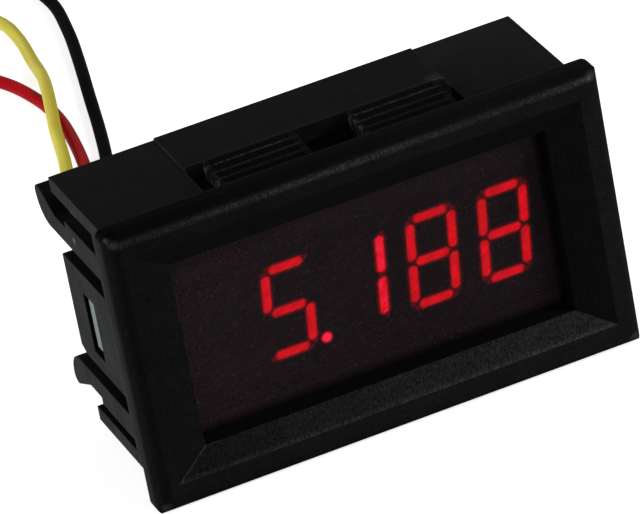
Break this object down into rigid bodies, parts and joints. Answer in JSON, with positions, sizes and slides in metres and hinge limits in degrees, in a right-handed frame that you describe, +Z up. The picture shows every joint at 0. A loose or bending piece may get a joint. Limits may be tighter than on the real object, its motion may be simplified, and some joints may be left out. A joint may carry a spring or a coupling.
{
  "type": "digital panel meter",
  "caption": "Snap-in digital panel meter: framed tinted window over a lit numeric display, clip arms and snap tongues on a one-piece housing, circuit board behind, three free wires.",
  "frame": {"origin": "Under the middle of the meter, on the surface that the bezel's lower edge stands on", "axes": "+X along the bezel to the right as the display is read, +Y from the display to the rear, +Z up"},
  "size_m": [0.0577, 0.1187, 0.0286],
  "materials": {
    "housing_plastic": "black moulded plastic with a fine spark-eroded grain",
    "filter_tint": "dark red tinted clear plastic",
    "display_plastic": "white moulded case with a dark printed face",
    "segment_glow": "lit red diffuser",
    "segment_diffuser": "unlit pale diffuser",
    "tinned_metal": "matt tin plating",
    "board_laminate": "green solder mask over glass laminate",
    "solder": "smooth solder",
    "chip_resin": "black moulding resin",
    "tantalum_resin": "yellow moulding resin",
    "ceramic_body": "fired tan ceramic",
    "resistor_body": "black glaze over ceramic",
    "trimmer_plastic": "blue moulded plastic",
    "trimmer_rotor": "plated rotor",
    "insulation_red": "soft vinyl insulation",
    "insulation_yellow": "soft vinyl insulation",
    "insulation_black": "soft vinyl insulation",
    "tinned_copper": "stranded copper, tinned"
  },
  "bodies": {
    "root": {"housing": "housing_plastic", "filter_window": "filter_tint", "display_case": "display_plastic", "segments_lit": "segment_glow", "segments_unlit": "segment_diffuser", "display_pins": "tinned_metal", "circuit_board": "board_laminate", "pin_solder": "solder", "microcontroller": "chip_resin", "microcontroller_leads": "tinned_metal", "converter_chip": "chip_resin", "converter_leads": "tinned_metal", "regulator": "chip_resin", "regulator_leads": "tinned_metal", "input_diode": "chip_resin", "diode_leads": "tinned_metal", "tantalum_capacitor": "tantalum_resin", "tantalum_leads": "tinned_metal", "ceramic_capacitors": "ceramic_body", "resistors": "resistor_body", "chip_ends": "tinned_metal", "calibration_trimmer": "trimmer_plastic", "trimmer_screw": "trimmer_rotor", "wire_solder": "solder", "wire_red": "insulation_red", "wire_yellow": "insulation_yellow", "wire_black": "insulation_black", "tip_red": "tinned_copper", "tip_yellow": "tinned_copper", "tip_black": "tinned_copper"}
  },
  "joints": []
}
